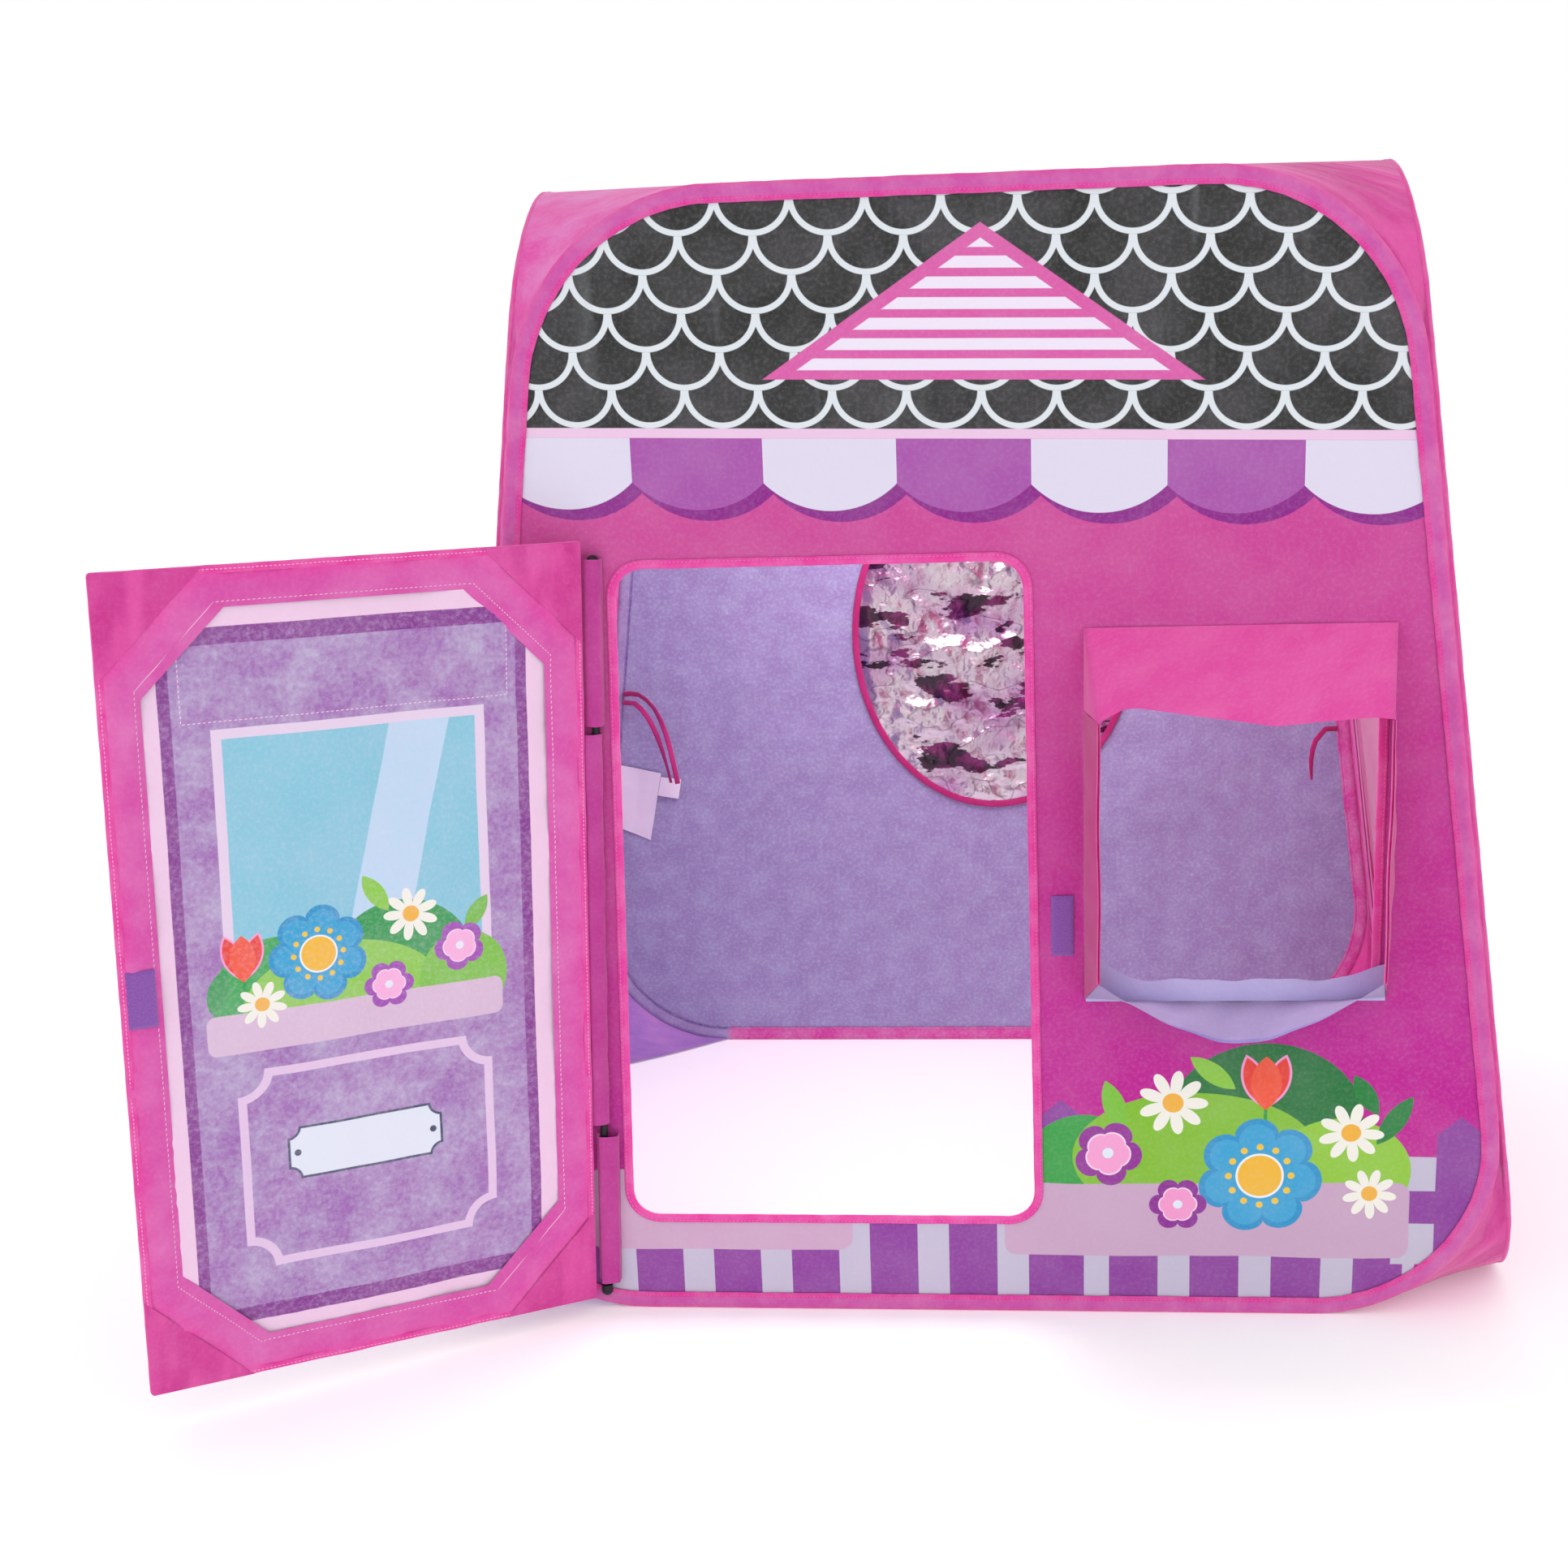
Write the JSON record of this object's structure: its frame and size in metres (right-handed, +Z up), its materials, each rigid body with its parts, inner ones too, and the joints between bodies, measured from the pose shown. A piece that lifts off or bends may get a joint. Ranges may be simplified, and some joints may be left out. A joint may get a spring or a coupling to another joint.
{
  "type": "kids play tent",
  "caption": "House-shaped pop-up play tent: fabric walls on spring wire loops, a sagging roof, a hinged fabric door, a bay window and a foil mirror inside",
  "frame": {"origin": "on the floor, at the underside of the front wall's sleeve, midway along it", "axes": "+Z up, -Y out of the front wall, +X to the right for someone who faces the front"},
  "size_m": [1.2011, 0.9263, 1.0222],
  "materials": {
    "printed_nonwoven": "printed spunbond, matt",
    "pink_nonwoven": "plain spunbond, matt",
    "dark_pink_tape": "woven tape",
    "lavender_nonwoven": "plain spunbond, mottled",
    "pink_mesh": "knitted net",
    "mirror_foil": "creased metallised film",
    "spring_steel": "drawn wire",
    "black_plastic": "moulded",
    "purple_hook_tape": "hook and loop pile",
    "white_tag": "smooth ribbon, blank"
  },
  "bodies": {
    "front_wall": {"front_panel": "printed_nonwoven", "front_sleeve": "pink_nonwoven", "front_wire": "spring_steel", "door_opening_binding": "pink_nonwoven", "window_opening_binding": "pink_nonwoven", "bay_pelmet": "pink_nonwoven", "bay_mesh_left": "pink_mesh", "bay_mesh_right": "pink_mesh", "bay_edge_left": "pink_nonwoven", "bay_edge_right": "pink_nonwoven", "bay_shelf": "lavender_nonwoven", "jamb_loop_patch": "purple_hook_tape", "hinge_rod": "black_plastic", "rod_cap_top": "black_plastic", "rod_cap_bottom": "black_plastic", "hinge_sleeve_upper": "pink_nonwoven", "hinge_sleeve_lower": "pink_nonwoven", "roof_panel": "pink_nonwoven", "top_corner_front_left": "pink_nonwoven", "top_corner_front_right": "pink_nonwoven", "bottom_corner_front_left": "lavender_nonwoven", "bottom_corner_front_right": "lavender_nonwoven", "corner_seam_front_left": "pink_nonwoven", "corner_seam_front_right": "pink_nonwoven"},
    "right_wall": {"right_panel": "pink_nonwoven", "right_mesh": "pink_mesh", "right_mesh_binding": "dark_pink_tape", "right_sleeve": "pink_nonwoven", "right_wire": "spring_steel", "top_corner_back_right": "pink_nonwoven", "bottom_corner_back_right": "lavender_nonwoven", "corner_seam_back_right": "pink_nonwoven"},
    "back_wall": {"back_panel": "lavender_nonwoven", "back_sleeve": "pink_nonwoven", "back_wire": "spring_steel", "mirror_film": "mirror_foil", "mirror_binding": "dark_pink_tape", "tie_left_long": "dark_pink_tape", "tie_left_short": "dark_pink_tape", "tie_right": "dark_pink_tape", "large_tag": "white_tag", "small_tag": "white_tag"},
    "left_wall": {"left_panel": "lavender_nonwoven", "left_mesh": "pink_mesh", "left_mesh_binding": "dark_pink_tape", "left_sleeve": "pink_nonwoven", "left_wire": "spring_steel", "top_corner_back_left": "pink_nonwoven", "bottom_corner_back_left": "lavender_nonwoven", "corner_seam_back_left": "pink_nonwoven"},
    "door": {"door_panel": "printed_nonwoven", "door_facing": "pink_nonwoven", "door_hem": "pink_nonwoven", "door_wire": "spring_steel", "door_corner_low_hinge": "pink_nonwoven", "door_corner_low_free": "pink_nonwoven", "door_corner_high_free": "pink_nonwoven", "door_corner_high_hinge": "pink_nonwoven", "door_hook_patch": "purple_hook_tape", "door_hinge_sleeve": "pink_nonwoven"}
  },
  "joints": [
    {"name": "right_fold", "type": "hinge", "parent": "front_wall", "child": "right_wall", "pos_m": [0.49, 0.0031, 0], "axis": [-0.124, 0, 0.9923], "range_deg": [0, 85], "deforming": ["top_corner_front_right", "bottom_corner_front_right", "corner_seam_front_right", "roof_panel"]},
    {"name": "left_fold", "type": "hinge", "parent": "front_wall", "child": "left_wall", "pos_m": [-0.49, 0.0031, 0], "axis": [0.124, 0, 0.9923], "range_deg": [0, 85], "deforming": ["top_corner_front_left", "bottom_corner_front_left", "corner_seam_front_left", "top_corner_back_left", "bottom_corner_back_left", "corner_seam_back_left", "tie_left_long", "tie_left_short"]},
    {"name": "back_fold", "type": "hinge", "parent": "right_wall", "child": "back_wall", "pos_m": [0.49, 0.6931, 0], "axis": [-0.124, 0, 0.9923], "range_deg": [-85, 0], "deforming": ["top_corner_back_right", "bottom_corner_back_right", "corner_seam_back_right"]},
    {"name": "door_swing", "type": "hinge", "parent": "front_wall", "child": "door", "pos_m": [-0.3452, -0.0078, 0], "axis": [0.0375, 0, 0.9993], "range_deg": [-16, 149]}
  ],
  "couplings": [
    {"joint": "left_fold", "follows": "right_fold", "ratio": 1},
    {"joint": "back_fold", "follows": "right_fold", "ratio": -1}
  ]
}
